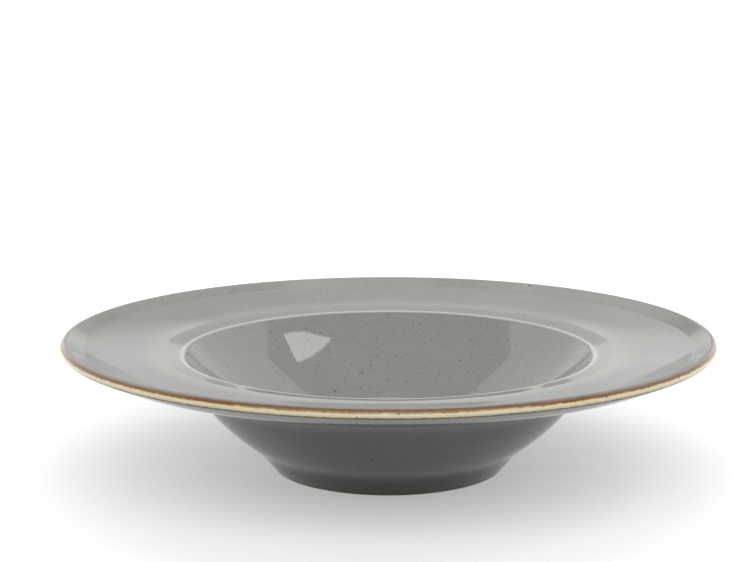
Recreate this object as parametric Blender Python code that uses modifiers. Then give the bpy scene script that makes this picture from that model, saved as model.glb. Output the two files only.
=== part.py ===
"""Wide-rimmed stoneware pasta plate: its fired clay body and the glaze fired onto it.

Metres, +Z up. The origin is the middle of the foot, on the table. Every piece is turned about
the plate's axis from the meridian: half of the plate's section, as (radius, height) points that
run from the middle of the well outwards, round the lip and back under the plate to its axis.
"""
import math

import bpy

PLATE_NAME = "pasta_plate"

# Whole plate
OUTER_RADIUS = 0.130
HEIGHT = 0.055

# Rim, shoulder and lip; every slope is in degrees from the horizontal
LIP_RADIUS = 0.0021
LIP_INNER_SLOPE = 31.0
LIP_CORNER_RADIUS = 0.1217
LIP_CORNER_CURVE = 0.0025
RIM_OUTER_SLOPE = 6.6
RIM_INNER_SLOPE = 7.2
RIM_INNER_RADIUS = 0.0965
SHOULDER_TOP_SLOPE = 9.0
SHOULDER_TOP_RADIUS = 0.0908
SHOULDER_CURVE = 0.005
SHOULDER_SLOPE = 12.5
UNDER_LIP_SLOPE = 27.8
UNDER_RIM_SLOPE = 10.0
UNDER_LIP_CURVE = 0.091

# The crest's low bead between shoulder and well
CREST_RADIUS = 0.0832
CREST_CURVE = 0.0011
CREST_OUTER_SLOPE = 12.0
CREST_HOLLOW_CURVE = 0.0016

# Edges of the painted bands, in degrees round the lip's nose above the horizontal
BROWN_CREAM_EDGE = 23.0
CREAM_GREY_EDGE = -32.0

# Inside of the well
WELL_FLOOR = 0.0103
WELL_LOW_SLOPE = 38.0
WELL_TOP_SLOPE = 50.0
WELL_WALL_CURVE = 0.200

# Outside of the bowl
BOWL_LOW_RADIUS = 0.0541
BOWL_LOW_HEIGHT = 0.00885
BOWL_LOW_SLOPE = 36.2
BOWL_TOP_SLOPE = 53.7
BOWL_CURVE = 0.089

# Foot ring, and the recess inside it
FOOT_CORNER_CURVE = 0.0300
FOOT_SIDE_SLOPE = 50.7
FOOT_INNER_SLOPE = 60.0
FOOT_EDGE_CURVE = 0.0009
FOOT_FLAT_WIDTH = 0.0050
BARE_FOOT_HEIGHT = 0.0009
RECESS_HEIGHT = 0.0037
RECESS_CURVE = 0.0025

# Layers: the thickness of a coat, and the gap that keeps touching pieces apart
COAT = 0.0004
GAP = 0.0003
GAP_ANGLE = math.degrees(GAP / (LIP_RADIUS - COAT))

TURN_STEPS = 48
MERGE_DISTANCE = 0.00001


def sine(slope):
    """Sine of an angle in degrees."""
    return math.sin(math.radians(slope))


def cosine(slope):
    """Cosine of an angle in degrees."""
    return math.cos(math.radians(slope))


def tangent(slope):
    """Tangent of an angle in degrees."""
    return math.tan(math.radians(slope))


def arc(start, curve, heading, end_heading, pieces):
    """Points of an arc of radius curve, from start until the outline's heading is end_heading.

    A heading is in degrees: 0 is outwards, 90 up and 180 inwards. It falls where the plate bulges
    and rises where the plate is hollow.
    """
    turn = 1.0 if end_heading > heading else -1.0
    points = [start]
    for step in range(1, pieces + 1):
        now = heading + (end_heading - heading) * step / pieces
        radius = start[0] + turn * curve * (sine(now) - sine(heading))
        height = start[1] - turn * curve * (cosine(now) - cosine(heading))
        points.append((radius, height))
    return points


def arc_to(end, curve, heading, end_heading, pieces):
    """Points of an arc that finishes at end, in the same order as arc gives them."""
    points = arc((0.0, 0.0), curve, heading, end_heading, pieces)
    across, up = end[0] - points[-1][0], end[1] - points[-1][1]
    return [(radius + across, height + up) for radius, height in points]


def lip_point(angle):
    """Point of the lip's nose at an angle above the horizontal."""
    radius = OUTER_RADIUS - LIP_RADIUS + LIP_RADIUS * cosine(angle)
    return radius, HEIGHT - LIP_RADIUS + LIP_RADIUS * sine(angle)


def lip_run(top, bottom, pieces):
    """Points of the lip's nose from one angle down to another."""
    return arc(lip_point(top), LIP_RADIUS, top - 90.0, bottom - 90.0, pieces)


def upper_run():
    """Well, crest, shoulder and rim, from the plate's axis out to the lip."""
    lip_top = lip_point(90.0 + LIP_INNER_SLOPE)
    reach = LIP_CORNER_CURVE * tangent((LIP_INNER_SLOPE - RIM_OUTER_SLOPE) / 2.0)
    face_start = LIP_CORNER_RADIUS + reach * cosine(LIP_INNER_SLOPE)
    face_low = lip_top[1] - (lip_top[0] - face_start) * tangent(LIP_INNER_SLOPE)
    lip_corner = arc_to((face_start, face_low), LIP_CORNER_CURVE, RIM_OUTER_SLOPE, LIP_INNER_SLOPE, 2)

    # The rim bulges a little, and bends down more as it nears the shoulder
    rim_curve = (lip_corner[0][0] - RIM_INNER_RADIUS) / (sine(RIM_INNER_SLOPE) - sine(RIM_OUTER_SLOPE))
    rim = arc_to(lip_corner[0], rim_curve, RIM_INNER_SLOPE, RIM_OUTER_SLOPE, 2)
    bend_width = RIM_INNER_RADIUS - SHOULDER_TOP_RADIUS
    bend_curve = bend_width / (sine(SHOULDER_TOP_SLOPE) - sine(RIM_INNER_SLOPE))
    bend = arc_to(rim[0], bend_curve, SHOULDER_TOP_SLOPE, RIM_INNER_SLOPE, 2)
    shoulder = arc_to(bend[0], SHOULDER_CURVE, SHOULDER_SLOPE, SHOULDER_TOP_SLOPE, 1)

    # The crest stands up a little from the shoulder, behind a shallow hollow
    hollow_edge = (CREST_RADIUS + CREST_CURVE * sine(CREST_OUTER_SLOPE)
                   + CREST_HOLLOW_CURVE * (sine(CREST_OUTER_SLOPE) + sine(SHOULDER_SLOPE)))
    hollow_height = shoulder[0][1] - (shoulder[0][0] - hollow_edge) * tangent(SHOULDER_SLOPE)
    hollow = arc_to((hollow_edge, hollow_height), CREST_HOLLOW_CURVE, -CREST_OUTER_SLOPE, SHOULDER_SLOPE, 2)
    crest = arc_to(hollow[0], CREST_CURVE, WELL_TOP_SLOPE, -CREST_OUTER_SLOPE, 4)

    wall = arc_to(crest[0], WELL_WALL_CURVE, WELL_LOW_SLOPE, WELL_TOP_SLOPE, 4)
    corner_curve = (wall[0][1] - WELL_FLOOR) / (1.0 - cosine(WELL_LOW_SLOPE))
    corner = arc_to(wall[0], corner_curve, 0.0, WELL_LOW_SLOPE, 4)
    inner = [(0.0, WELL_FLOOR)] + corner + wall[1:] + crest[1:] + hollow[1:]
    return inner + shoulder + bend[1:] + rim[1:] + lip_corner[1:] + [lip_top]


def brown_run():
    """Upper half of the lip, from the rim down to the cream band."""
    return lip_run(90.0 + LIP_INNER_SLOPE - GAP_ANGLE, BROWN_CREAM_EDGE + GAP_ANGLE / 2.0, 4)


def cream_run():
    """Nose of the lip, under the brown line."""
    return lip_run(BROWN_CREAM_EDGE - GAP_ANGLE / 2.0, CREAM_GREY_EDGE + GAP_ANGLE / 2.0, 3)


def foot_side(height):
    """Point of the foot's slanted outer side at a height."""
    return BOWL_LOW_RADIUS - (BOWL_LOW_HEIGHT - height) / tangent(FOOT_SIDE_SLOPE), height


def lower_run():
    """Underside of the rim and outside of the bowl, from the lip down to the bare foot."""
    lip_end = UNDER_LIP_SLOPE - 90.0
    rim_heading, bowl_heading = 180.0 + UNDER_RIM_SLOPE, 180.0 + BOWL_TOP_SLOPE
    low_heading, side_heading = 180.0 + BOWL_LOW_SLOPE, 180.0 + FOOT_SIDE_SLOPE
    under_lip = arc(lip_point(lip_end), UNDER_LIP_CURVE, 180.0 + UNDER_LIP_SLOPE, rim_heading, 4)

    # A soft corner takes the place of a sharp one between bowl and foot
    reach = FOOT_CORNER_CURVE * tangent((FOOT_SIDE_SLOPE - BOWL_LOW_SLOPE) / 2.0)
    corner_start = (BOWL_LOW_RADIUS + reach * cosine(BOWL_LOW_SLOPE),
                    BOWL_LOW_HEIGHT + reach * sine(BOWL_LOW_SLOPE))
    corner = arc(corner_start, FOOT_CORNER_CURVE, low_heading, side_heading, 3)
    bowl = arc_to(corner_start, BOWL_CURVE, bowl_heading, low_heading, 4)

    # The hollow between rim and bowl is tangent to both, which gives its radius
    rim_above_bowl = under_lip[-1][1] - (under_lip[-1][0] - bowl[0][0]) * tangent(UNDER_RIM_SLOPE)
    across = sine(BOWL_TOP_SLOPE) - sine(UNDER_RIM_SLOPE)
    up = cosine(UNDER_RIM_SLOPE) - cosine(BOWL_TOP_SLOPE)
    hollow_curve = (rim_above_bowl - bowl[0][1]) / (up - across * tangent(UNDER_RIM_SLOPE))
    hollow = arc_to(bowl[0], hollow_curve, rim_heading, bowl_heading, 4)

    lip = lip_run(CREAM_GREY_EDGE - GAP_ANGLE / 2.0, lip_end, 2)
    return lip + under_lip[1:] + hollow + bowl[1:] + corner[1:] + [foot_side(BARE_FOOT_HEIGHT + GAP)]


def foot_inner_start():
    """Where the foot's flat ring turns up into its inner side."""
    outer_edge = foot_side(FOOT_EDGE_CURVE * (1.0 - cosine(FOOT_SIDE_SLOPE)))
    return outer_edge[0] - FOOT_EDGE_CURVE * sine(FOOT_SIDE_SLOPE) - FOOT_FLAT_WIDTH, 0.0


def foot_inner_side(height):
    """Point of the foot's slanted inner side at a height."""
    edge = arc(foot_inner_start(), FOOT_EDGE_CURVE, 180.0, 180.0 - FOOT_INNER_SLOPE, 1)[-1]
    return edge[0] - (height - edge[1]) / tangent(FOOT_INNER_SLOPE), height


def bare_run():
    """The foot's unglazed ring: two rounded edges and the flat that stands on the table."""
    outer_edge = foot_side(FOOT_EDGE_CURVE * (1.0 - cosine(FOOT_SIDE_SLOPE)))
    points = [foot_side(BARE_FOOT_HEIGHT)]
    points += arc(outer_edge, FOOT_EDGE_CURVE, 180.0 + FOOT_SIDE_SLOPE, 180.0, 3)
    points += arc(foot_inner_start(), FOOT_EDGE_CURVE, 180.0, 180.0 - FOOT_INNER_SLOPE, 3)
    points.append(foot_inner_side(BARE_FOOT_HEIGHT))
    return points


def base_run():
    """Underside inside the foot ring, from the ring's inner side to the plate's axis."""
    corner = foot_inner_side(RECESS_HEIGHT - RECESS_CURVE * (1.0 - cosine(FOOT_INNER_SLOPE)))
    points = [foot_inner_side(BARE_FOOT_HEIGHT + GAP)]
    points += arc(corner, RECESS_CURVE, 180.0 - FOOT_INNER_SLOPE, 180.0, 3)
    points.append((0.0, RECESS_HEIGHT))
    return points


def edge_normal(start, end):
    """Unit normal of an outline's edge, pointing out of the plate."""
    length = math.dist(start, end)
    return (start[1] - end[1]) / length, (end[0] - start[0]) / length


def inset(points, depth):
    """An outline moved into the plate by depth, with its corners mitred."""
    normals = [edge_normal(start, end) for start, end in zip(points, points[1:])]
    moved = []
    for point, before, after in zip(points, normals[:1] + normals, normals + normals[-1:]):
        mitre = depth / (1.0 + before[0] * after[0] + before[1] * after[1])
        moved.append((point[0] - mitre * (before[0] + after[0]), point[1] - mitre * (before[1] + after[1])))
    return moved


def coat_outline(run):
    """Section of a coat: its surface, and the same line back on its inner side."""
    return run + inset(run, COAT)[::-1]


def clay_outline():
    """Section of the clay: a coat and a gap under the glaze, and flush where the foot is bare."""
    bare = bare_run()
    depth = COAT + GAP
    coated = upper_run() + brown_run() + cream_run() + lower_run()
    return inset(coated + bare[:1], depth) + bare + inset(bare[-1:] + base_run(), depth)


def srgb(red, green, blue):
    """Linear colour of an 8-bit one."""
    channels = []
    for value in (red / 255.0, green / 255.0, blue / 255.0):
        channels.append(value / 12.92 if value <= 0.04045 else ((value + 0.055) / 1.055) ** 2.4)
    return (*channels, 1.0)


def make_material(name, colour, roughness):
    """A non-metal finish of one colour."""
    material = bpy.data.materials.new(name)
    material.use_nodes = True
    shader = material.node_tree.nodes["Principled BSDF"]
    shader.inputs["Base Color"].default_value = colour
    shader.inputs["Roughness"].default_value = roughness
    shader.inputs["Metallic"].default_value = 0.0
    return material


def turned_piece(name, outline, collection, material):
    """A piece turned about the plate's axis from its section.

    A section that starts and ends on the axis closes there; any other is joined end to start.
    """
    last = len(outline) - 1
    edges = [(index, index + 1) for index in range(last)]
    if outline[0][0] > MERGE_DISTANCE:
        edges.append((last, 0))
    mesh = bpy.data.meshes.new(name)
    mesh.from_pydata([(radius, 0.0, height) for radius, height in outline], edges, [])
    mesh.materials.append(material)
    piece = bpy.data.objects.new(name, mesh)
    collection.objects.link(piece)

    screw = piece.modifiers.new("turn", "SCREW")
    screw.axis = "Z"
    screw.angle = 2.0 * math.pi
    screw.steps = TURN_STEPS
    screw.render_steps = TURN_STEPS
    screw.use_merge_vertices = True
    screw.merge_threshold = MERGE_DISTANCE
    screw.use_smooth_shade = True
    return piece


def main():
    """Build the plate's clay body and the coats and bands on it."""
    for thing in list(bpy.data.objects):
        bpy.data.objects.remove(thing, do_unlink=True)
    collection = bpy.data.collections.new(PLATE_NAME)
    bpy.context.scene.collection.children.link(collection)

    grey_glaze = srgb(152, 154, 148)
    turned_piece("clay_body", clay_outline(), collection,
                 make_material("bare_clay", srgb(196, 180, 156), 0.85))
    turned_piece("upper_glaze", coat_outline(upper_run()), collection,
                 make_material("upper_grey_glaze", grey_glaze, 0.18))
    turned_piece("brown_lip_line", coat_outline(brown_run()), collection,
                 make_material("brown_glaze", srgb(126, 96, 56), 0.25))
    turned_piece("cream_lip_band", coat_outline(cream_run()), collection,
                 make_material("cream_glaze", srgb(214, 203, 172), 0.22))
    turned_piece("lower_glaze", coat_outline(lower_run()), collection,
                 make_material("lower_grey_glaze", grey_glaze, 0.22))
    turned_piece("base_glaze", coat_outline(base_run()), collection,
                 make_material("base_grey_glaze", grey_glaze, 0.25))


main()
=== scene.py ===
"""Looks of a wide-rimmed stoneware pasta plate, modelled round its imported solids.

Metres, +Z up, with the origin in the middle of the foot, on the table. Each layer of the plate is
turned again as a fine closed shell in the place of its solid, and dressed with a procedural finish:
speckled grey glaze, a brown and cream lip painted by hand, and bare clay under the foot. A plain
studio with a pale floor stands round it, with the camera at the photograph's viewing angle.
"""
import logging
import math
from dataclasses import dataclass
from enum import Enum
from typing import Any, Optional, Union

import bmesh
import bpy
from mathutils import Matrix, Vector, noise


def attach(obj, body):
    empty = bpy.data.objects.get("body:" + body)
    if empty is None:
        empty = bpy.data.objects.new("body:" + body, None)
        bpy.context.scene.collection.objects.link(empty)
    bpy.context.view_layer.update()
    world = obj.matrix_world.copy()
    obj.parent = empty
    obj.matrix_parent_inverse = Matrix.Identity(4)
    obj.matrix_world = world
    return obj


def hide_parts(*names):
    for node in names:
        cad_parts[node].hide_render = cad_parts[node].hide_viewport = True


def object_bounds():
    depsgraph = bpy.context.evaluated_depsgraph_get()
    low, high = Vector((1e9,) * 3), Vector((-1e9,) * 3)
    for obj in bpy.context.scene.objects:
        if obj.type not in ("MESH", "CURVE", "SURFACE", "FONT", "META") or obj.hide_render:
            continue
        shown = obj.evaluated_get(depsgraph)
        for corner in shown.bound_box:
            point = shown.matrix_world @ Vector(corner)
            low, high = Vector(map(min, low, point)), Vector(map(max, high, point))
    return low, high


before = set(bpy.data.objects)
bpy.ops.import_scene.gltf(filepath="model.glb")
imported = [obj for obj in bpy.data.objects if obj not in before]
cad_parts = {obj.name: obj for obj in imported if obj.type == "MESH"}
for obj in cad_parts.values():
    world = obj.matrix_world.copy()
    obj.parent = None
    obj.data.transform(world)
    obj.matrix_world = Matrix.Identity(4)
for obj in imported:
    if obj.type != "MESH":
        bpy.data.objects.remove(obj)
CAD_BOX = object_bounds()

LOG = logging.getLogger("pasta_plate")

BODY = "root"

Point = tuple[float, float]
Run = list[Point]
Span = tuple[float, float]
Colour = tuple[float, float, float, float]
Scalar = Union["Field", float]
Socket = bpy.types.NodeSocket

# How finely the outlines are drawn: metres along a stretch, degrees round a curve
LONGEST_STEP = 0.0015
WIDEST_TURN = 2.0
SAME_PLACE = 0.000001

# Degrees in a turn, and where most of a soft noise lies
FULL_TURN = 360.0
USUAL_CLOUD: Span = (0.3, 0.7)


class Slot(Enum):
    """Finishes of the record that the pieces take."""

    BARE_CLAY = "bare_clay"
    UPPER_GREY = "upper_grey_glaze"
    BROWN = "brown_glaze"
    CREAM = "cream_glaze"
    LOWER_GREY = "lower_grey_glaze"
    BASE_GREY = "base_grey_glaze"


def sine(degrees: float) -> float:
    """Sine of an angle in degrees."""
    return math.sin(math.radians(degrees))


def cosine(degrees: float) -> float:
    """Cosine of an angle in degrees."""
    return math.cos(math.radians(degrees))


def tangent(degrees: float) -> float:
    """Tangent of an angle in degrees."""
    return math.tan(math.radians(degrees))


def srgb(red: int, green: int, blue: int) -> Colour:
    """Linear colour of an 8-bit one.

    Args:
        red: red, from 0 to 255.
        green: green, from 0 to 255.
        blue: blue, from 0 to 255.

    Returns:
        The colour as linear values with full alpha.
    """
    linear = []
    for value in (red / 255.0, green / 255.0, blue / 255.0):
        linear.append(value / 12.92 if value <= 0.04045 else ((value + 0.055) / 1.055) ** 2.4)
    return linear[0], linear[1], linear[2], 1.0


def arc(start: Point, curve: float, heading: float, end_heading: float) -> Run:
    """Points of an arc from start until the outline's heading is end_heading.

    Args:
        start: first point of the arc.
        curve: the arc's radius.
        heading: direction at the start in degrees: 0 is outwards, 90 up and 180 inwards.
        end_heading: direction at the end. Headings fall where the plate bulges.

    Returns:
        The arc's points, close enough together to look round.
    """
    swing = math.radians(abs(end_heading - heading))
    pieces = max(2, math.ceil(swing * curve / LONGEST_STEP), math.ceil(math.degrees(swing) / WIDEST_TURN))
    turn = 1.0 if end_heading > heading else -1.0
    points = [start]
    for step in range(1, pieces + 1):
        now = heading + (end_heading - heading) * step / pieces
        radius = start[0] + turn * curve * (sine(now) - sine(heading))
        height = start[1] - turn * curve * (cosine(now) - cosine(heading))
        points.append((radius, height))
    return points


def arc_to(end: Point, curve: float, heading: float, end_heading: float) -> Run:
    """Points of an arc that finishes at end.

    Args:
        end: last point of the arc.
        curve: the arc's radius.
        heading: direction at the start, in degrees.
        end_heading: direction at the end, in degrees.

    Returns:
        The arc's points, in the same order as arc gives them.
    """
    points = arc((0.0, 0.0), curve, heading, end_heading)
    across, up = end[0] - points[-1][0], end[1] - points[-1][1]
    return [(radius + across, height + up) for radius, height in points]


def bowed_to(end: Point, inner_radius: float, inner_slope: float, outer_slope: float) -> Run:
    """Points of a slightly bowed stretch that finishes at end.

    Args:
        end: last and outermost point of the stretch.
        inner_radius: radius at which it starts.
        inner_slope: slope at the start, in degrees.
        outer_slope: slope at the end, in degrees.

    Returns:
        The stretch's points, as those of one large arc.
    """
    curve = abs((end[0] - inner_radius) / (sine(outer_slope) - sine(inner_slope)))
    return arc_to(end, curve, inner_slope, outer_slope)


def joined(*runs: Run) -> Run:
    """One outline made of runs, with straight stretches between those that lie apart.

    Args:
        *runs: runs of points, in the outline's order.

    Returns:
        The outline, with no point twice and no long step.
    """
    points = [runs[0][0]]
    for run in runs:
        for point in run:
            last = points[-1]
            gap = math.dist(last, point)
            pieces = math.ceil(gap / LONGEST_STEP)
            for step in range(1, pieces):
                share = step / pieces
                across, up = point[0] - last[0], point[1] - last[1]
                points.append((last[0] + across * share, last[1] + up * share))
            if gap > SAME_PLACE:
                points.append(point)
    return points


def inset(points: Run, depth: float) -> Run:
    """An outline moved into the plate, with its corners mitred.

    Args:
        points: the outline.
        depth: how far it moves.

    Returns:
        The moved outline, point for point.
    """
    normals = []
    for start, end in zip(points, points[1:]):
        length = math.dist(start, end)
        normals.append(((start[1] - end[1]) / length, (end[0] - start[0]) / length))
    moved = []
    for point, before, after in zip(points, normals[:1] + normals, normals + normals[-1:]):
        mitre = depth / (1.0 + before[0] * after[0] + before[1] * after[1])
        moved.append((point[0] - mitre * (before[0] + after[0]), point[1] - mitre * (before[1] + after[1])))
    return moved


@dataclass(frozen=True)
class Meridian:
    """Half of the plate's section, drawn as runs of (radius, height) points.

    The runs follow one another from the middle of the well outwards, round the lip and back under
    the plate to its axis. Slopes are in degrees from the horizontal, and an angle on the lip is in
    degrees round its nose above the horizontal.
    """

    outer_radius: float
    height: float

    # Rim, shoulder and lip
    lip_radius: float = 0.0021
    lip_inner_slope: float = 31.0
    lip_corner_radius: float = 0.1217
    lip_corner_curve: float = 0.0025
    rim_outer_slope: float = 6.7
    rim_middle_slope: float = 6.9
    rim_middle_radius: float = 0.1040
    rim_inner_slope: float = 5.6
    rim_inner_radius: float = 0.0915
    ridge_curve: float = 0.004
    shoulder_top_slope: float = 9.0
    shoulder_slope: float = 9.2
    shoulder_low_radius: float = 0.0850
    under_lip_slope: float = 27.8
    under_rim_slope: float = 10.0
    under_lip_curve: float = 0.091

    # The crest's low bead between shoulder and well
    crest_radius: float = 0.0830
    crest_curve: float = 0.0022
    crest_outer_slope: float = 3.0
    crest_hollow_curve: float = 0.0020

    # Where one lip colour's piece ends and the next begins
    brown_cream_edge: float = 23.0
    cream_grey_edge: float = -32.0

    # Inside of the well
    well_floor: float = 0.0103
    well_low_slope: float = 38.0
    well_top_slope: float = 50.0
    well_wall_curve: float = 0.200

    # Outside of the bowl
    bowl_low_radius: float = 0.0541
    bowl_low_height: float = 0.00885
    bowl_low_slope: float = 36.2
    bowl_top_slope: float = 53.7
    bowl_curve: float = 0.089

    # Foot ring and the recess inside it
    foot_corner_curve: float = 0.0300
    foot_side_slope: float = 50.7
    foot_inner_slope: float = 60.0
    foot_edge_curve: float = 0.0009
    foot_flat_width: float = 0.0050
    bare_foot_height: float = 0.0004
    recess_height: float = 0.0037
    recess_curve: float = 0.0025
    glaze_bead_curve: float = 0.0003

    @property
    def nose(self) -> Point:
        """Middle of the lip's round nose."""
        return self.outer_radius - self.lip_radius, self.height - self.lip_radius

    @property
    def rim_edge(self) -> float:
        """Angle on the lip where the rim runs into it."""
        return 90.0 + self.lip_inner_slope

    def lip_point(self, angle: float) -> Point:
        """Point of the lip's nose at an angle."""
        return self.nose[0] + self.lip_radius * cosine(angle), self.nose[1] + self.lip_radius * sine(angle)

    def lip_run(self, top: float, bottom: float) -> Run:
        """Points of the lip's nose from one angle down to another."""
        return arc(self.lip_point(top), self.lip_radius, top - 90.0, bottom - 90.0)

    def upper_run(self) -> Run:
        """Draw the well, its crest, the shoulder and the rim.

        Returns:
            The run from the plate's axis out to the lip.
        """
        lip_top = self.lip_point(self.rim_edge)
        reach = self.lip_corner_curve * tangent((self.lip_inner_slope - self.rim_outer_slope) / 2.0)
        face_start = self.lip_corner_radius + reach * cosine(self.lip_inner_slope)
        face_low = lip_top[1] - (lip_top[0] - face_start) * tangent(self.lip_inner_slope)
        lip_corner = arc_to((face_start, face_low), self.lip_corner_curve,
                            self.rim_outer_slope, self.lip_inner_slope)

        # The rim bulges a little, then flattens towards the ridge where the shoulder turns down
        rim = bowed_to(lip_corner[0], self.rim_middle_radius, self.rim_middle_slope, self.rim_outer_slope)
        flat = bowed_to(rim[0], self.rim_inner_radius, self.rim_inner_slope, self.rim_middle_slope)
        ridge = arc_to(flat[0], self.ridge_curve, self.shoulder_top_slope, self.rim_inner_slope)
        shoulder = bowed_to(ridge[0], self.shoulder_low_radius, self.shoulder_slope, self.shoulder_top_slope)

        # The crest stands up a little from the shoulder, behind a shallow hollow
        edge = (self.crest_radius + self.crest_curve * sine(self.crest_outer_slope)
                + self.crest_hollow_curve * (sine(self.crest_outer_slope) + sine(self.shoulder_slope)))
        drop = (shoulder[0][0] - edge) * tangent(self.shoulder_slope)
        hollow = arc_to((edge, shoulder[0][1] - drop), self.crest_hollow_curve,
                        -self.crest_outer_slope, self.shoulder_slope)
        crest = arc_to(hollow[0], self.crest_curve, self.well_top_slope, -self.crest_outer_slope)

        wall = arc_to(crest[0], self.well_wall_curve, self.well_low_slope, self.well_top_slope)
        corner_curve = (wall[0][1] - self.well_floor) / (1.0 - cosine(self.well_low_slope))
        corner = arc_to(wall[0], corner_curve, 0.0, self.well_low_slope)
        well = joined([(0.0, self.well_floor)], corner, wall, crest)
        return joined(well, hollow, shoulder, ridge, flat, rim, lip_corner, [lip_top])

    def brown_run(self) -> Run:
        """Upper half of the lip, from the rim down to the cream band."""
        return self.lip_run(self.rim_edge, self.brown_cream_edge)

    def cream_run(self) -> Run:
        """Nose of the lip, under the brown line."""
        return self.lip_run(self.brown_cream_edge, self.cream_grey_edge)

    def foot_side(self, height: float) -> Point:
        """Point of the foot's slanted outer side at a height."""
        return self.bowl_low_radius - (self.bowl_low_height - height) / tangent(self.foot_side_slope), height

    def lower_run(self) -> Run:
        """Draw the underside of the rim and the outside of the bowl.

        Returns:
            The run from the lip down to the bare foot.
        """
        lip_end = self.under_lip_slope - 90.0
        rim_heading = 180.0 + self.under_rim_slope
        top_heading, low_heading = 180.0 + self.bowl_top_slope, 180.0 + self.bowl_low_slope
        side_heading = 180.0 + self.foot_side_slope
        under_lip = arc(self.lip_point(lip_end), self.under_lip_curve,
                        180.0 + self.under_lip_slope, rim_heading)

        # A soft corner takes the place of the sharp one between bowl and foot
        reach = self.foot_corner_curve * tangent((self.foot_side_slope - self.bowl_low_slope) / 2.0)
        corner_start = (self.bowl_low_radius + reach * cosine(self.bowl_low_slope),
                        self.bowl_low_height + reach * sine(self.bowl_low_slope))
        corner = arc(corner_start, self.foot_corner_curve, low_heading, side_heading)
        bowl = arc_to(corner_start, self.bowl_curve, top_heading, low_heading)

        # The hollow between rim and bowl is tangent to both, which gives its radius
        rim_above_bowl = under_lip[-1][1] - (under_lip[-1][0] - bowl[0][0]) * tangent(self.under_rim_slope)
        across = sine(self.bowl_top_slope) - sine(self.under_rim_slope)
        up = cosine(self.under_rim_slope) - cosine(self.bowl_top_slope)
        hollow_curve = (rim_above_bowl - bowl[0][1]) / (up - across * tangent(self.under_rim_slope))
        hollow = arc_to(bowl[0], hollow_curve, rim_heading, top_heading)

        lip = self.lip_run(self.cream_grey_edge, lip_end)
        bead = arc(self.foot_side(self.bare_foot_height + self.glaze_bead_curve), self.glaze_bead_curve,
                   side_heading, side_heading - 90.0)
        return joined(lip, under_lip, hollow, bowl, corner, bead)

    def foot_inner_start(self) -> Point:
        """Where the foot's flat ring turns up into its inner side."""
        outer_edge = self.foot_side(self.foot_edge_curve * (1.0 - cosine(self.foot_side_slope)))
        return outer_edge[0] - self.foot_edge_curve * sine(self.foot_side_slope) - self.foot_flat_width, 0.0

    def foot_inner_side(self, height: float) -> Point:
        """Point of the foot's slanted inner side at a height."""
        edge = arc(self.foot_inner_start(), self.foot_edge_curve, 180.0, 180.0 - self.foot_inner_slope)[-1]
        return edge[0] - (height - edge[1]) / tangent(self.foot_inner_slope), height

    def bare_run(self) -> Run:
        """Draw the foot's unglazed ring.

        Returns:
            Two rounded edges and the flat between them that stands on the table.
        """
        outer_edge = self.foot_side(self.foot_edge_curve * (1.0 - cosine(self.foot_side_slope)))
        outer = arc(outer_edge, self.foot_edge_curve, 180.0 + self.foot_side_slope, 180.0)
        inner = arc(self.foot_inner_start(), self.foot_edge_curve, 180.0, 180.0 - self.foot_inner_slope)
        return joined([self.foot_side(self.bare_foot_height)], outer, inner,
                      [self.foot_inner_side(self.bare_foot_height)])

    def base_run(self) -> Run:
        """Draw the underside inside the foot ring.

        Returns:
            The run from the ring's inner side to the plate's axis.
        """
        start = self.foot_inner_side(self.bare_foot_height + self.glaze_bead_curve)
        side_heading = 180.0 - self.foot_inner_slope
        bead = arc_to(start, self.glaze_bead_curve, side_heading + 90.0, side_heading)
        corner_height = self.recess_height - self.recess_curve * (1.0 - cosine(self.foot_inner_slope))
        corner = arc(self.foot_inner_side(corner_height), self.recess_curve, side_heading, 180.0)
        return joined(bead, corner, [(0.0, self.recess_height)])


@dataclass(frozen=True)
class Lathe:
    """Turns outlines into pieces, with the slight unevenness of a plate that has been fired."""

    turn_steps: int = 360
    sway: float = 0.00005
    sway_length: float = 0.085
    ripple: float = 0.000003
    ripple_length: float = 0.013
    true_below: float = 0.003
    uneven_above: float = 0.016
    sharp_from: float = 40.0

    def unevenness(self, spot: Vector) -> float:
        """How far the fired clay has risen or sunk; the foot stays true.

        Args:
            spot: a place on the plate.

        Returns:
            The rise there in metres, below zero where it has sunk.
        """
        share = min(1.0, max(0.0, (spot.z - self.true_below) / (self.uneven_above - self.true_below)))
        slow = self.sway * noise.noise(spot / self.sway_length)
        quick = self.ripple * noise.noise(spot / self.ripple_length)
        return share * share * (3.0 - 2.0 * share) * (slow + quick)

    def turn(self, name: str, outline: Run) -> bpy.types.Object:
        """Turn an outline about the plate's axis.

        Args:
            name: the piece's name.
            outline: the piece's section; one that leaves the axis also ends on it, any other is closed.

        Returns:
            The piece, smooth apart from its edges.
        """
        last = len(outline) - 1
        edges = [(index, index + 1) for index in range(last)]
        if outline[0][0] > SAME_PLACE:
            edges.append((last, 0))
        section = bpy.data.meshes.new(name + "_section")
        section.from_pydata([(radius, 0.0, height) for radius, height in outline], edges, [])
        piece = bpy.data.objects.new(name, section)
        bpy.context.scene.collection.objects.link(piece)
        screw = piece.modifiers.new("turn", "SCREW")
        screw.axis = "Z"
        screw.angle = 2.0 * math.pi
        screw.steps = self.turn_steps
        screw.render_steps = self.turn_steps
        screw.use_merge_vertices = True
        screw.merge_threshold = SAME_PLACE

        turned = piece.evaluated_get(bpy.context.evaluated_depsgraph_get())
        mesh = bpy.data.meshes.new_from_object(turned)
        mesh.name = name
        piece.modifiers.clear()
        piece.data = mesh
        bpy.data.meshes.remove(section)
        for vertex in mesh.vertices:
            vertex.co.z += self.unevenness(vertex.co)
        mesh.shade_smooth()
        mesh.set_sharp_from_angle(angle=math.radians(self.sharp_from))
        return piece


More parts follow.
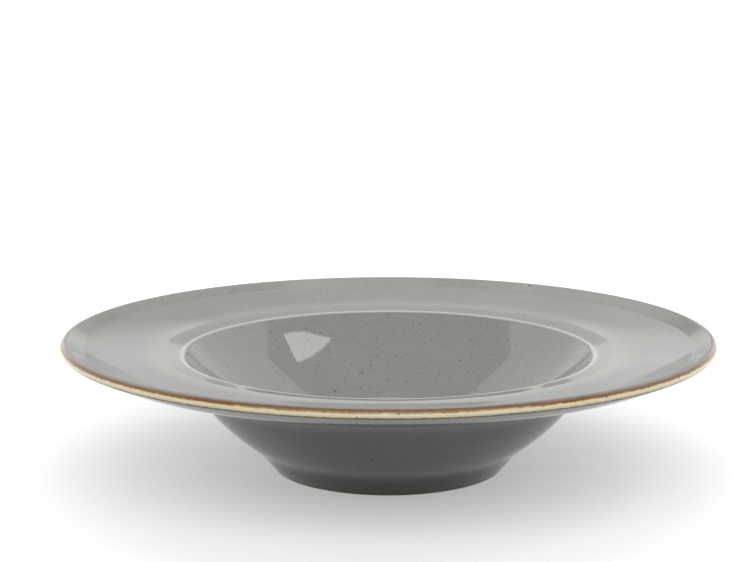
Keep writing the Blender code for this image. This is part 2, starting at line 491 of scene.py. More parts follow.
class Field:
    """A number that changes over a surface: an output socket with arithmetic."""

    def __init__(self, bench: "Bench", socket: Socket) -> None:
        """Keep the socket, and the bench that lays out its nodes."""
        self.bench = bench
        self.socket = socket

    def __add__(self, other: Scalar) -> "Field":
        """Sum."""
        return self.bench.maths("ADD", self, other)

    __radd__ = __add__

    def __sub__(self, other: Scalar) -> "Field":
        """Difference."""
        return self.bench.maths("SUBTRACT", self, other)

    def __rsub__(self, other: Scalar) -> "Field":
        """Difference, from a number."""
        return self.bench.maths("SUBTRACT", other, self)

    def __mul__(self, other: Scalar) -> "Field":
        """Product."""
        return self.bench.maths("MULTIPLY", self, other)

    __rmul__ = __mul__

    def __truediv__(self, other: Scalar) -> "Field":
        """Quotient."""
        return self.bench.maths("DIVIDE", self, other)

    def __rtruediv__(self, other: Scalar) -> "Field":
        """Quotient, of a number."""
        return self.bench.maths("DIVIDE", other, self)

    def __lt__(self, other: Scalar) -> "Field":
        """1 where it is less, and 0 elsewhere."""
        return self.bench.maths("LESS_THAN", self, other)

    def __abs__(self) -> "Field":
        """Size without sign."""
        return self.bench.maths("ABSOLUTE", self)

    def at_least(self, low: float) -> "Field":
        """The larger of it and a number."""
        return self.bench.maths("MAXIMUM", self, low)

    def root(self) -> "Field":
        """Square root."""
        return self.bench.maths("SQRT", self)

    def ease(self, start: float, end: float) -> "Field":
        """0 up to start and 1 from end, smooth between; a start above end gives a fall."""
        made = self.bench.node("ShaderNodeMapRange", {"interpolation_type": "SMOOTHSTEP"},
                               {"Value": self, "From Min": start, "From Max": end})
        return Field(self.bench, made.outputs["Result"])

    def between(self, start: float, end: float, first: float, last: float) -> "Field":
        """A straight change from first at start to last at end, level outside."""
        made = self.bench.node("ShaderNodeMapRange", {"interpolation_type": "LINEAR"},
                               {"Value": self, "From Min": start, "From Max": end,
                                "To Min": first, "To Max": last})
        return Field(self.bench, made.outputs["Result"])


class Bench:
    """Lays out the nodes of one material or world."""

    def __init__(self, tree: bpy.types.NodeTree) -> None:
        """Start on an empty tree."""
        self.tree = tree
        tree.nodes.clear()

    def node(self, kind: str, settings: Optional[dict[str, Any]] = None,
             inputs: Optional[dict[Union[str, int], Any]] = None) -> bpy.types.Node:
        """Add a node.

        Args:
            kind: the node's type.
            settings: its properties, set first. For a ramp, stops holds (place, colour) pairs.
            inputs: a value, socket or field for each input that is set.

        Returns:
            The node.
        """
        made = self.tree.nodes.new(kind)
        for name, value in (settings or {}).items():
            if name == "stops":
                self.set_stops(made.color_ramp, value)
            else:
                setattr(made, name, value)
        for name, value in (inputs or {}).items():
            source = value.socket if isinstance(value, Field) else value
            if isinstance(source, Socket):
                self.tree.links.new(source, made.inputs[name])
            else:
                made.inputs[name].default_value = source
        return made

    @staticmethod
    def set_stops(ramp: bpy.types.ColorRamp, stops: list[tuple[float, Colour]]) -> None:
        """Give a ramp its stops.

        Args:
            ramp: a new ramp, with its first two stops.
            stops: (place, colour) pairs, in rising order.
        """
        ends = (stops[0], stops[-1])
        for element, (place, colour) in zip(ramp.elements, ends):
            element.position = place
            element.color = colour
        for place, colour in stops[1:-1]:
            ramp.elements.new(place).color = colour

    def maths(self, operation: str, *values: Scalar) -> Field:
        """One Math node on fields and numbers."""
        made = self.node("ShaderNodeMath", {"operation": operation}, dict(enumerate(values)))
        return Field(self, made.outputs[0])

    def split(self, vector: Socket) -> tuple[Field, Field, Field]:
        """The three parts of a vector."""
        made = self.node("ShaderNodeSeparateXYZ", inputs={0: vector})
        return Field(self, made.outputs[0]), Field(self, made.outputs[1]), Field(self, made.outputs[2])

    def mix(self, share: Scalar, first: Any, second: Any) -> Socket:
        """A colour between two: the first at share 0, the second at 1."""
        made = self.node("ShaderNodeMix", {"data_type": "RGBA"}, {0: share, 6: first, 7: second})
        return made.outputs[2]

    def tint(self, share: Scalar, colour: Any, by: Any) -> Socket:
        """A colour multiplied by another, as far as share says."""
        made = self.node("ShaderNodeMix", {"data_type": "RGBA", "blend_type": "MULTIPLY"},
                         {0: share, 6: colour, 7: by})
        return made.outputs[2]

    def clouds(self, place: Socket, size: float, detail: float = 2.0) -> Field:
        """Soft noise from 0 to 1, with patches of about the given size in metres."""
        made = self.node("ShaderNodeTexNoise", {"noise_dimensions": "3D"},
                         {"Vector": place, "Scale": 1.0 / size, "Detail": detail})
        return Field(self, made.outputs[0])

    def shifted(self, place: Socket, size: float, reach: float) -> Socket:
        """Move places about, so that shapes drawn on them aren't regular.

        Args:
            place: the surface's places.
            size: length over which the moves change, in metres.
            reach: the farthest move, in metres.

        Returns:
            The moved places.
        """
        stir = self.node("ShaderNodeTexNoise", {"noise_dimensions": "3D"},
                         {"Vector": place, "Scale": 1.0 / size, "Detail": 1.0})
        centred = self.node("ShaderNodeVectorMath", {"operation": "SUBTRACT"},
                            {0: stir.outputs["Color"], 1: (0.5, 0.5, 0.5)})
        scaled = self.node("ShaderNodeVectorMath", {"operation": "SCALE"},
                           {0: centred.outputs[0], "Scale": 2.0 * reach})
        return self.node("ShaderNodeVectorMath", {"operation": "ADD"},
                         {0: place, 1: scaled.outputs[0]}).outputs[0]

    def surface(self, colour: Any, roughness: Scalar, height: Field, depth: float,
                fixed: dict[str, float]) -> None:
        """Finish the material with a Principled shader.

        Args:
            colour: its base colour.
            roughness: its roughness.
            height: fine relief, from 0 to 1.
            depth: how deep that relief is, in metres.
            fixed: the shader's own numbers that are the same all over.
        """
        bump = self.node("ShaderNodeBump", inputs={"Height": height, "Distance": depth, "Strength": 1.0})
        shader = self.node("ShaderNodeBsdfPrincipled", inputs={
            "Base Color": colour, "Roughness": roughness, "Normal": bump.outputs[0], **fixed})
        self.node("ShaderNodeOutputMaterial", inputs={"Surface": shader.outputs[0]})


def new_bench(name: str) -> tuple[bpy.types.Material, Bench]:
    """Start a material.

    Args:
        name: the material's name.

    Returns:
        The new material and the bench for its nodes.
    """
    material = bpy.data.materials.new(name)
    material.use_nodes = True
    return material, Bench(material.node_tree)


@dataclass(frozen=True)
class IronSpecks:
    """Dark spots of about one size, where iron in the clay has bled through the glaze."""

    spacing: float
    smallest: float
    largest: float

    def spots(self, bench: Bench, place: Socket, share: Scalar) -> Field:
        """Where the specks lie.

        Args:
            bench: the material's bench.
            place: the surface's places.
            share: how many of the possible specks there are, from 0 to 1.

        Returns:
            1 in a speck and 0 outside, with a soft edge.
        """
        cells = bench.node("ShaderNodeTexVoronoi", {"voronoi_dimensions": "3D", "feature": "F1"},
                           {"Vector": place, "Scale": 1.0 / self.spacing})
        lots = bench.node("ShaderNodeSeparateColor", inputs={0: cells.outputs["Color"]})
        size_lot, share_lot = Field(bench, lots.outputs[0]), Field(bench, lots.outputs[1])
        reach = Field(bench, cells.outputs["Distance"]) * self.spacing
        size = size_lot * size_lot * (self.largest - self.smallest) + self.smallest
        return (reach / size).ease(1.0, 0.45) * (share_lot < share)


@dataclass(frozen=True)
class LipPaint:
    """The lip's colours, laid on by hand one below the other round its nose.

    Stops, edges and fades are angles round the nose, in degrees above the horizontal.
    """

    nose: Point
    stops: tuple[tuple[float, Colour], ...] = (
        (-104.0, srgb(150, 150, 150)),
        (-84.0, srgb(164, 163, 166)),
        (-56.0, srgb(150, 146, 144)),
        # The dark line under the cream is partly brown paint, partly painted shade where the nose turns
        # under
        (-42.0, srgb(116, 104, 86)),
        (-34.0, srgb(122, 106, 82)),
        (-28.0, srgb(218, 204, 170)),
        (-22.0, srgb(253, 243, 213)),
        (6.0, srgb(255, 248, 216)),
        (14.0, srgb(234, 210, 162)),
        (20.0, srgb(208, 164, 106)),
        (25.0, srgb(138, 100, 56)),
        (34.0, srgb(122, 89, 50)),
        (50.0, srgb(130, 98, 62)),
        (62.0, srgb(142, 122, 104)),
        (84.0, srgb(142, 131, 126)),
        (112.0, srgb(142, 138, 136)),
        (150.0, srgb(140, 141, 137)),
    )
    upper_fade: Span = (150.0, 112.0)
    lower_fade: Span = (-104.0, -84.0)
    seam: float = -150.0

    # How far the brush wavers, and over what length
    slow_wave: float = 7.0
    slow_length: float = 0.007
    quick_wave: float = 9.0
    quick_length: float = 0.0016

    # Darker blots in the brown
    blot: Colour = srgb(104, 74, 38)
    blot_size: float = 0.0035
    blot_cover: Span = (0.50, 0.72)
    blot_from: Span = (24.0, 34.0)
    blot_until: Span = (78.0, 50.0)
    blot_strength: float = 0.55

    # Dots along the brown's lower edge, and grains all over the lip
    dot: Colour = srgb(84, 58, 28)
    dots: IronSpecks = IronSpecks(0.0021, 0.00022, 0.00055)
    dot_from: Span = (2.0, 26.0)
    dot_until: Span = (48.0, 30.0)
    dot_share: float = 0.6
    dot_strength: float = 0.8
    grain: Colour = srgb(84, 72, 52)
    grains: IronSpecks = IronSpecks(0.0042, 0.0003, 0.0008)
    grain_share: float = 0.22
    grain_strength: float = 0.75
    stir_size: float = 0.0009
    stir_reach: float = 0.0003

    def angle(self, bench: Bench, place: Socket) -> Field:
        """Angle round the lip's nose, wavering as a brush does.

        Args:
            bench: the material's bench.
            place: the surface's places.

        Returns:
            The angle in degrees, without a jump on the painted side.
        """
        x, y, z = bench.split(place)
        out = (x * x + y * y).root() - self.nose[0]
        turned = bench.maths("ARCTAN2", z - self.nose[1], out) * math.degrees(1.0)
        plain = turned + (turned < self.seam) * FULL_TURN
        slow = (bench.clouds(place, self.slow_length) - 0.5) * (2.0 * self.slow_wave)
        quick = (bench.clouds(place, self.quick_length) - 0.5) * (2.0 * self.quick_wave)
        return plain + slow + quick

    def over(self, bench: Bench, place: Socket, angle: Field, glaze: Socket) -> Socket:
        """Paint the lip over the grey glaze.

        Args:
            bench: the material's bench.
            place: the surface's places.
            angle: angle round the lip's nose.
            glaze: colour of the glaze under the paint.

        Returns:
            The painted colour.
        """
        low, high = self.stops[0][0], self.stops[-1][0]
        stops = [((degrees - low) / (high - low), colour) for degrees, colour in self.stops]
        ramp = bench.node("ShaderNodeValToRGB", {"stops": stops}, {0: (angle - low) / (high - low)})

        in_brown = angle.ease(*self.blot_from) * angle.ease(*self.blot_until)
        blots = bench.clouds(place, self.blot_size).ease(*self.blot_cover) * in_brown
        painted = bench.mix(blots * self.blot_strength, ramp.outputs[0], self.blot)

        loose = bench.shifted(place, self.stir_size, self.stir_reach)
        dot_share = angle.ease(*self.dot_from) * angle.ease(*self.dot_until) * self.dot_share
        dots = self.dots.spots(bench, loose, dot_share)
        painted = bench.mix(dots * self.dot_strength, painted, self.dot)
        grains = self.grains.spots(bench, loose, self.grain_share)
        painted = bench.mix(grains * self.grain_strength, painted, self.grain)
        return bench.mix(angle.ease(*self.upper_fade) * angle.ease(*self.lower_fade), glaze, painted)


@dataclass(frozen=True)
class GreyGlaze:
    """Glossy stoneware glaze: a soft grey that clouds a little, with specks of iron in it."""

    name: str
    lip: LipPaint
    well_radius: float
    well_share: float
    outer_share: float
    ridge_radius: float
    faces_up: bool = False

    # The grey, its clouds and its fine mottle
    grey: Colour = srgb(138, 140, 134)
    pale: Colour = srgb(143, 145, 139)
    deep: Colour = srgb(133, 136, 130)
    evenness: float = 0.5
    cloud_size: float = 0.030
    cloud_cover: Span = (0.35, 0.65)
    mottle: Colour = srgb(226, 226, 222)
    mottle_size: float = 0.0016
    mottle_detail: float = 3.0
    mottle_cover: Span = (0.42, 0.75)
    mottle_strength: float = 0.35

    # Specks, with more of them inside the well's edge
    speck: Colour = srgb(82, 77, 62)
    fine_specks: IronSpecks = IronSpecks(0.0016, 0.00018, 0.00050)
    fine_strength: Span = (0.45, 1.0)
    fine_fade_size: float = 0.004
    coarse_specks: IronSpecks = IronSpecks(0.0056, 0.00040, 0.00090)
    coarse_share: float = 0.5
    coarse_strength: float = 0.85
    stir_size: float = 0.0007
    stir_reach: float = 0.00022
    well_edge: float = 0.004

    # Painted highlights: on the crest, where the glaze also breaks thin, and towards the shoulder's ridge
    crest_break_and_highlight: Colour = srgb(188, 189, 182)
    crest_reach: float = 0.00144
    crest_waver: float = 0.0003
    crest_waver_size: float = 0.003
    ridge_highlight: Colour = srgb(152, 154, 147)
    ridge_reach: float = 0.0110
    shoulder_width: float = 0.0030
    shoulder_strength: Span = (0.45, 1.0)

    # Painted shade: darker above the foot, and down in the well
    shade_tint: Colour = srgb(200, 200, 196)
    shade_radius: float = 0.0520
    shade_reach: float = 0.0200
    foot_radius: float = 0.0460
    foot_edge: float = 0.0015
    well_shade: float = 0.45
    well_shade_edge: float = 0.006
    well_shade_middle: float = 0.45

    # Its shine, duller on the painted lip, and its faint orange peel
    gloss: Span = (0.02975, 0.042)
    gloss_size: float = 0.006
    lip_dullness: float = 0.10
    lip_top: Span = (112.0, 84.0)
    lip_bottom: Span = (-60.0, -30.0)
    peel_size: float = 0.0024
    peel_detail: float = 1.0
    peel_depth: float = 0.0000006
    refraction: float = 1.52

    def material(self) -> bpy.types.Material:
        """Lay out the glaze's nodes.

        Returns:
            The material.
        """
        material, bench = new_bench(self.name)
        place = bench.node("ShaderNodeTexCoord").outputs["Object"]
        x, y, _ = bench.split(place)
        radius = (x * x + y * y).root()
        colour = self.clouded(bench, place)
        if self.faces_up:
            colour = self.painted_light_and_break(bench, place, radius, colour)
        else:
            colour = self.shaded_towards_foot(bench, radius, colour)
        colour = self.specked(bench, place, radius, colour)

        angle = self.lip.angle(bench, place)
        colour = self.lip.over(bench, place, angle, colour)
        on_lip = angle.ease(*self.lip_top) * angle.ease(*self.lip_bottom)
        sheen = bench.clouds(place, self.gloss_size).between(*USUAL_CLOUD, *self.gloss)
        peel = bench.clouds(place, self.peel_size, self.peel_detail)
        roughness = sheen + on_lip * self.lip_dullness
        bench.surface(colour, roughness, peel, self.peel_depth, {"IOR": self.refraction})
        return material

    def clouded(self, bench: Bench, place: Socket) -> Socket:
        """Cloud and mottle the plain grey.

        Args:
            bench: the material's bench.
            place: the surface's places.

        Returns:
            The glaze's own colour.
        """
        clouds = bench.clouds(place, self.cloud_size).ease(*self.cloud_cover)
        colour = bench.mix(self.evenness, bench.mix(clouds, self.deep, self.pale), self.grey)
        mottle = bench.clouds(place, self.mottle_size, self.mottle_detail).ease(*self.mottle_cover)
        return bench.tint(mottle * self.mottle_strength, colour, self.mottle)

    def painted_light_and_break(self, bench: Bench, place: Socket, radius: Field, colour: Socket) -> Socket:
        """Paint highlights on the crest and towards the shoulder's ridge, and paint shade down in the well.

        Args:
            bench: the material's bench.
            place: the surface's places.
            radius: distance from the plate's axis.
            colour: the glaze's colour before.

        Returns:
            The colour, with painted highlights towards the ridge and on the crest, and painted shade in the
            well.
        """
        # Painted shade: the well grows darker towards its middle
        down = radius.ease(self.well_radius - self.well_shade_edge, self.well_radius * self.well_shade_middle)
        colour = bench.tint(down * self.well_shade, colour, self.shade_tint)
        waver = (bench.clouds(place, self.crest_waver_size) - 0.5) * self.crest_waver
        on_crest = abs(radius - self.well_radius + waver).ease(self.crest_reach, 0.0)
        to_ridge = radius.ease(self.ridge_radius + self.ridge_reach, self.ridge_radius)
        shoulder = (self.ridge_radius - self.shoulder_width, self.ridge_radius)
        past_ridge = radius.between(*shoulder, *self.shoulder_strength)
        # Painted highlight: the rim grows paler towards the shoulder's ridge
        colour = bench.mix(to_ridge * past_ridge, colour, self.ridge_highlight)
        # Pale line on the crest: partly the glaze breaking thin on its edge, partly a painted highlight
        return bench.mix(on_crest, colour, self.crest_break_and_highlight)

    def shaded_towards_foot(self, bench: Bench, radius: Field, colour: Socket) -> Socket:
        """Paint shade on the bowl, darker towards the foot.

        Args:
            bench: the material's bench.
            radius: distance from the plate's axis.
            colour: the glaze's colour before.

        Returns:
            The colour, with painted shade deepening towards the foot.
        """
        above_foot = radius.ease(self.foot_radius - self.foot_edge, self.foot_radius)
        # Painted shade: the bowl grows darker towards the foot
        foot_shade = radius.ease(self.shade_radius + self.shade_reach, self.shade_radius) * above_foot
        return bench.tint(foot_shade, colour, self.shade_tint)

    def specked(self, bench: Bench, place: Socket, radius: Field, colour: Socket) -> Socket:
        """Strew fine and coarse specks over the glaze.

        Args:
            bench: the material's bench.
            place: the surface's places.
            radius: distance from the plate's axis.
            colour: the glaze's colour before.

        Returns:
            The colour with its specks.
        """
        in_well = radius.ease(self.well_radius, self.well_radius - self.well_edge)
        share = in_well * (self.well_share - self.outer_share) + self.outer_share
        loose = bench.shifted(place, self.stir_size, self.stir_reach)
        fine = self.fine_specks.spots(bench, loose, share)
        coarse = self.coarse_specks.spots(bench, loose, share * self.coarse_share)
        strength = bench.clouds(place, self.fine_fade_size).between(*USUAL_CLOUD, *self.fine_strength)
        colour = bench.mix(fine * strength, colour, self.speck)
        return bench.mix(coarse * self.coarse_strength, colour, self.speck)


@dataclass(frozen=True)
class BareClay:
    """Fired buff stoneware where the glaze has been wiped off: dry, grainy, ground smooth below."""

    name: str = "bare_stoneware"
    buff: Colour = srgb(198, 182, 158)
    toasted: Colour = srgb(178, 150, 118)
    toast_size: float = 0.012
    toast_detail: float = 4.0
    toast_cover: Span = (0.40, 0.70)
    sand: Colour = srgb(214, 206, 196)
    sand_size: float = 0.0007
    sand_detail: float = 3.0
    sand_cover: Span = (0.45, 0.80)
    sand_strength: float = 0.5
    sand_depth: float = 0.00006
    grain: Colour = srgb(120, 98, 74)
    grains: IronSpecks = IronSpecks(0.0020, 0.00012, 0.00040)
    grain_share: float = 0.5
    grain_strength: float = 0.7
    stir_size: float = 0.0006
    stir_reach: float = 0.0002
    dryness: Span = (0.78, 0.92)
    refraction: float = 1.45

    def material(self) -> bpy.types.Material:
        """Lay out the clay's nodes.

        Returns:
            The material.
        """
        material, bench = new_bench(self.name)
        place = bench.node("ShaderNodeTexCoord").outputs["Object"]
        toast = bench.clouds(place, self.toast_size, self.toast_detail).ease(*self.toast_cover)
        colour = bench.mix(toast, self.buff, self.toasted)
        sand = bench.clouds(place, self.sand_size, self.sand_detail)
        colour = bench.tint(sand.ease(*self.sand_cover) * self.sand_strength, colour, self.sand)
        loose = bench.shifted(place, self.stir_size, self.stir_reach)
        grains = self.grains.spots(bench, loose, self.grain_share)
        colour = bench.mix(grains * self.grain_strength, colour, self.grain)
        roughness = sand.between(*USUAL_CLOUD, *self.dryness)
        bench.surface(colour, roughness, sand, self.sand_depth, {"IOR": self.refraction})
        return material


def fit(piece: bpy.types.Object, node: str, material: bpy.types.Material) -> None:
    """Put a finished piece in the place of its solid.

    Args:
        piece: the piece.
        node: the solid that it stands for.
        material: its material.
    """
    piece.data.materials.append(material)
    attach(piece, BODY)
    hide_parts(node)
    LOG.info("%s: %d faces, in the place of %s", piece.name, len(piece.data.polygons), node)


@dataclass
class Glazing:
    """The layers fired onto the clay: three grey coats and the two bands of the lip."""

    meridian: Meridian
    lathe: Lathe
    thickness: float = 0.0004
    inner_thinning: int = 4

    def shell(self, name: str, run: Run) -> bpy.types.Object:
        """A coat: its surface, and a coarser line back along its inner side."""
        under = run[:-1:self.inner_thinning] + run[-1:]
        return self.lathe.turn(name, run + inset(under, self.thickness)[::-1])

    def build(self) -> dict[str, bpy.types.Object]:
        """Turn the five layers.

        Returns:
            Each layer by the name of the solid that it stands for.
        """
        return {
            "upper_glaze": self.shell("upper_coat", self.meridian.upper_run()),
            "brown_lip_line": self.shell("brown_line", self.meridian.brown_run()),
            "cream_lip_band": self.shell("cream_band", self.meridian.cream_run()),
            "lower_glaze": self.shell("lower_coat", self.meridian.lower_run()),
            "base_glaze": self.shell("base_coat", self.meridian.base_run()),
        }

    def dress(self, layers: dict[str, bpy.types.Object]) -> None:
        """Give the layers their finishes and put them in place.

        Args:
            layers: the pieces, as build returns them.
        """
        lip = LipPaint(self.meridian.nose)
        well = self.meridian.crest_radius
        ridge = self.meridian.rim_inner_radius
        upper = GreyGlaze("upper_speckled_glaze", lip, well, 0.95, 0.30, ridge, faces_up=True).material()
        band = GreyGlaze("lip_painted_glaze", lip, well, 0.30, 0.30, ridge).material()
        lower = GreyGlaze("lower_speckled_glaze", lip, well, 0.32, 0.32, ridge).material()
        base = GreyGlaze("base_speckled_glaze", lip, well, 0.40, 0.40, ridge).material()
        fit(layers["upper_glaze"], "upper_glaze", upper)
        fit(layers["brown_lip_line"], "brown_lip_line", band)
        fit(layers["cream_lip_band"], "cream_lip_band", band)
        fit(layers["lower_glaze"], "lower_glaze", lower)
        fit(layers["base_glaze"], "base_glaze", base)


@dataclass
class ClayBody:
    """The turned and fired clay: hidden under the coats, and bare where the foot stands."""

    meridian: Meridian
    lathe: Lathe
    under_glaze: float = 0.00045
    thinning: int = 3

    def build(self) -> bpy.types.Object:
        """Turn the clay body.

        Returns:
            The piece, just under the coats and bare at the foot.
        """
        meridian = self.meridian
        lip = joined(meridian.brown_run(), meridian.cream_run())
        coated = joined(meridian.upper_run(), lip, meridian.lower_run())
        base = meridian.base_run()
        top = inset(coated[:-1:self.thinning] + coated[-1:], self.under_glaze)
        bottom = inset(base[:-1:self.thinning] + base[-1:], self.under_glaze)
        return self.lathe.turn("clay_foot_and_body", top + meridian.bare_run() + bottom)

    def dress(self, piece: bpy.types.Object) -> None:
        """Give the clay its finish and put it in place."""
        fit(piece, "clay_body", BareClay().material())


@dataclass
class Studio:
    """A pale floor, soft light from all round, and the photograph's camera.

    The light comes from brightnesses all round. Sideways edges of its forms are parts of a direction
    one long, heights are elevations in degrees, and what hangs above is drawn on a ceiling one metre up.
    """

    floor_size: float = 12.0
    floor_white: float = 0.80
    floor_lift: float = 0.36
    floor_grey: float = 0.34
    camera_place: tuple[float, float, float] = (0.0, -0.6254, 0.1813)
    camera_dip: float = 9.66
    sensor_width: float = 36.0
    photo_width: float = 750.0
    focal_pixels: float = 1580.0
    plate_middle: float = 388.5

    # White paper behind the plate: its brightness, then its outline
    paper_low: float = 0.54
    paper_high: float = 0.98
    paper_rise: Span = (1.0, 10.0)
    paper_lean: float = 0.5
    paper_middle: Span = (0.10, 0.05)
    paper_middle_gain: float = 0.10
    paper_top: float = 18.9
    paper_notch: float = 3.6
    paper_notch_edge: Span = (0.072, 0.063)
    paper_droop: float = 62.0
    paper_droop_start: float = 0.06
    paper_half_width: float = 0.0985
    paper_spread: float = 0.2326
    paper_top_blur: float = 0.25
    paper_corner_blur: float = 14.0
    paper_side_blur: float = 0.0007

    # Wall behind the paper and above it, and the walls at both sides
    wall_low: float = 0.65
    wall_middle: float = 0.85
    wall_high: float = 1.90
    wall_step: Span = (26.5, 31.0)
    wall_rise: Span = (30.0, 70.0)
    wall_lean: float = 1.45
    wall_lean_rise: Span = (9.0, 15.0)
    wall_end: Span = (0.14, 0.22)
    wall_end_lean: float = 0.9
    side_glow: float = 0.48
    side_glow_fall: Span = (9.0, 19.0)
    side_low: float = 0.98
    side_high: float = 1.38
    side_rise: Span = (15.0, 45.0)
    side_edge: Span = (0.18, 0.45)
    camera_side: float = 0.12
    camera_side_edge: Span = (0.10, -0.35)

    # Ceiling, the bank of soft light on the camera's side of it, and the lamp at the right
    least_rise: float = 0.01
    horizon: Span = (0.0, 0.05)
    ceiling: float = 0.42
    ceiling_half_width: float = 0.88
    ceiling_back: float = 0.22
    ceiling_slant: float = 0.35
    ceiling_blur: float = 0.02
    bank: float = 2.6
    bank_side: Span = (1.35, 1.25)
    bank_near: Span = (-0.50, -0.58)
    bank_far: Span = (-1.75, -1.65)
    lamp: float = 4.6
    lamp_blur: float = 0.006
    lamp_corners: tuple[Point, ...] = (
        (0.405, -0.150), (0.600, -0.054), (0.692, 0.036), (0.760, 0.130), (0.662, 0.232))

    def floor(self) -> None:
        """Lay the floor, white to the eye and to reflections, with the plate's shadow on it."""
        mesh = bpy.data.meshes.new("floor")
        work = bmesh.new()
        bmesh.ops.create_grid(work, x_segments=1, y_segments=1, size=self.floor_size / 2.0)
        work.to_mesh(mesh)
        work.free()
        piece = bpy.data.objects.new("floor", mesh)
        bpy.context.scene.collection.objects.link(piece)

        material, bench = new_bench("pale_floor")
        grey = (self.floor_grey, self.floor_grey, self.floor_grey, 1.0)
        white = (self.floor_white, self.floor_white, self.floor_white, 1.0)
        dull = bench.node("ShaderNodeBsdfDiffuse", inputs={"Color": grey})
        clean = bench.node("ShaderNodeBsdfDiffuse", inputs={"Color": white})
        lift = bench.node("ShaderNodeEmission", inputs={"Strength": self.floor_lift})
        lifted = bench.node("ShaderNodeAddShader", inputs={0: clean.outputs[0], 1: lift.outputs[0]})
        mixed = bench.node("ShaderNodeMixShader",
                           inputs={0: self.seen(bench), 1: dull.outputs[0], 2: lifted.outputs[0]})
        bench.node("ShaderNodeOutputMaterial", inputs={"Surface": mixed.outputs[0]})
        mesh.materials.append(material)

    @staticmethod
    def seen(bench: Bench) -> Field:
        """Tell what is seen from what only lights the plate.

        Args:
            bench: the floor's bench.

        Returns:
            1 for rays from the camera, off gloss and through glass, and 0 for others.
        """
        path = bench.node("ShaderNodeLightPath")
        seen = Field(bench, path.outputs["Is Camera Ray"])
        for name in ("Is Glossy Ray", "Is Transmission Ray"):
            seen = bench.maths("MAXIMUM", seen, Field(bench, path.outputs[name]))
        return seen

    @staticmethod
    def laid(under: Field, share: Field, over: Scalar) -> Field:
        """One brightness over another, as far as share says."""
        return under * (1.0 - share) + share * over

    def paper(self, x: Field, y: Field, z: Field, elevation: Field) -> Field:
        """Draw the paper's outline.

        Args:
            x: part of the direction to the right.
            y: part of the direction away from the camera.
            z: part of the direction upwards.
            elevation: angle above the horizon.

        Returns:
            1 on the paper and 0 outside.
        """
        inside = y * self.paper_half_width + z * self.paper_spread - abs(x)
        droop = (abs(x) - self.paper_droop_start).at_least(0.0) * self.paper_droop
        notch = abs(x).ease(*self.paper_notch_edge) * self.paper_notch
        over_top = elevation + droop + notch - self.paper_top
        blur = abs(x) * self.paper_corner_blur + self.paper_top_blur
        return (over_top / blur).ease(1.0, -1.0) * inside.ease(-self.paper_side_blur, self.paper_side_blur)

    def sheet(self, x: Field, elevation: Field) -> Field:
        """Brightness of the paper: brighter upwards, to the right and along its middle."""
        bright = 1.0 + x * self.paper_lean + abs(x).ease(*self.paper_middle) * self.paper_middle_gain
        return elevation.between(*self.paper_rise, self.paper_low, self.paper_high) * bright

    def walls(self, x: Field, elevation: Field) -> Field:
        """Light the walls round the plate.

        Args:
            x: part of the direction to the right.
            elevation: angle above the horizon.

        Returns:
            Brightness of the wall behind, and towards both sides that of the side walls.
        """
        end = abs(x).ease(*self.wall_end)
        leaning = (1.0 - end) * elevation.ease(*self.wall_lean_rise) * x * self.wall_lean
        low = elevation.between(*self.wall_step, self.wall_low, self.wall_middle)
        high = elevation.between(*self.wall_rise, 0.0, self.wall_high - self.wall_middle)
        behind = (low + high) * (1.0 + leaning - end * x * self.wall_end_lean)
        glow = elevation.between(*self.side_glow_fall, self.side_glow, 0.0)
        side = elevation.between(*self.side_rise, self.side_low, self.side_high) + glow
        return self.laid(behind, abs(x).ease(*self.side_edge), side)

    def overhead(self, x: Field, y: Field, z: Field, around: Field) -> Field:
        """Hang a dim ceiling, a bank of soft light and a lamp above the plate.

        Args:
            x: part of the direction to the right.
            y: part of the direction away from the camera.
            z: part of the direction upwards.
            around: brightness all round without them.

        Returns:
            Brightness with them.
        """
        rise = z.at_least(self.least_rise)
        across, along = x / rise, y / rise
        above = z.ease(*self.horizon)
        blur = self.ceiling_blur
        beside = abs(across).ease(self.ceiling_half_width + blur, self.ceiling_half_width - blur)
        slanted = along - abs(across) * self.ceiling_slant
        ceiling = beside * slanted.ease(self.ceiling_back + blur, self.ceiling_back - blur) * above
        light = self.laid(around, ceiling, self.ceiling)
        near_and_far = along.ease(*self.bank_near) * along.ease(*self.bank_far)
        light = self.laid(light, abs(across).ease(*self.bank_side) * near_and_far * above, self.bank)
        return self.laid(light, self.lamp_patch(across, along) * above, self.lamp)

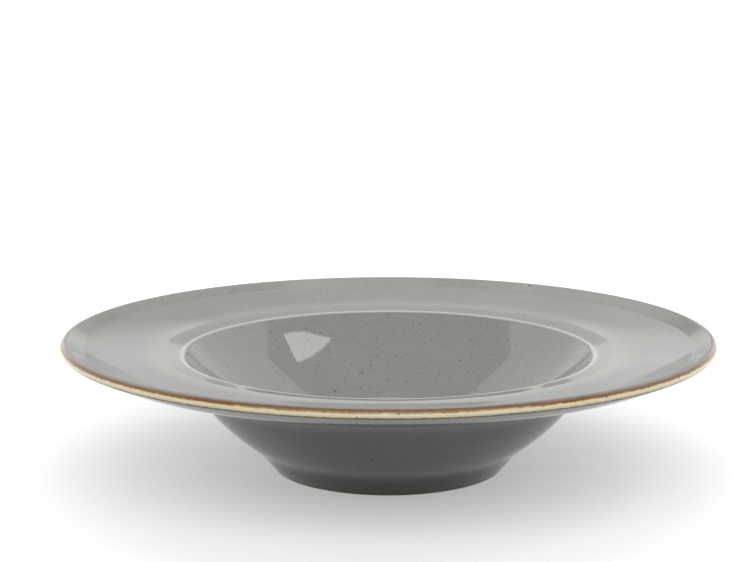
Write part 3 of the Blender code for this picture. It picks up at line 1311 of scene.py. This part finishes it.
    def lamp_patch(self, across: Field, along: Field) -> Field:
        """Draw the lamp, a long kite that points to the camera's side.

        Args:
            across: place on the ceiling to the right.
            along: place on the ceiling away from the camera.

        Returns:
            1 inside the kite and 0 outside.
        """
        patch: Scalar = 1.0
        for start, end in zip(self.lamp_corners, self.lamp_corners[1:] + self.lamp_corners[:1]):
            length = math.dist(start, end)
            inward = (-(end[1] - start[1]) / length, (end[0] - start[0]) / length)
            depth = (across - start[0]) * inward[0] + (along - start[1]) * inward[1]
            patch = depth.ease(-self.lamp_blur, self.lamp_blur) * patch
        return patch

    def light(self) -> None:
        """Set the world: white to the camera, and a soft studio to the plate."""
        world = bpy.data.worlds.new("soft_studio")
        bpy.context.scene.world = world
        world.use_nodes = True
        bench = Bench(world.node_tree)
        x, y, z = bench.split(bench.node("ShaderNodeTexCoord").outputs["Generated"])
        elevation = bench.maths("ARCSINE", z) * math.degrees(1.0)

        paper = self.paper(x, y, z, elevation)
        around = self.laid(self.walls(x, elevation), paper, self.sheet(x, elevation))
        around = self.laid(around, y.ease(*self.camera_side_edge), self.camera_side)
        light = self.overhead(x, y, z, around)

        path = bench.node("ShaderNodeLightPath")
        eye = Field(bench, path.outputs["Is Camera Ray"])
        glow = bench.node("ShaderNodeBackground", inputs={
            "Color": (1.0, 1.0, 1.0, 1.0), "Strength": self.laid(light, eye, 1.0)})
        bench.node("ShaderNodeOutputWorld", inputs={"Surface": glow.outputs[0]})

    def camera(self) -> None:
        """Stand the camera where the photograph was taken from."""
        data = bpy.data.cameras.new("photo_camera")
        data.sensor_width = self.sensor_width
        data.lens = self.focal_pixels * self.sensor_width / self.photo_width
        data.shift_x = 0.5 - self.plate_middle / self.photo_width
        camera = bpy.data.objects.new("photo_camera", data)
        camera.location = self.camera_place
        camera.rotation_euler = (math.radians(90.0 - self.camera_dip), 0.0, 0.0)
        bpy.context.scene.collection.objects.link(camera)
        bpy.context.scene.camera = camera

    def build(self) -> None:
        """Set up the whole studio."""
        self.camera()
        self.floor()
        self.light()
        bpy.context.scene.view_settings.view_transform = "Standard"


def main() -> None:
    """Build the plate, dress it and set up its studio."""
    logging.basicConfig(level=logging.INFO, format="%(message)s")
    lowest, highest = CAD_BOX
    meridian = Meridian(outer_radius=(highest.x - lowest.x) / 2.0, height=highest.z)
    lathe = Lathe()

    body = ClayBody(meridian, lathe)
    body.dress(body.build())
    glazing = Glazing(meridian, lathe)
    glazing.dress(glazing.build())
    Studio().build()


if __name__ == "__main__":
    main()
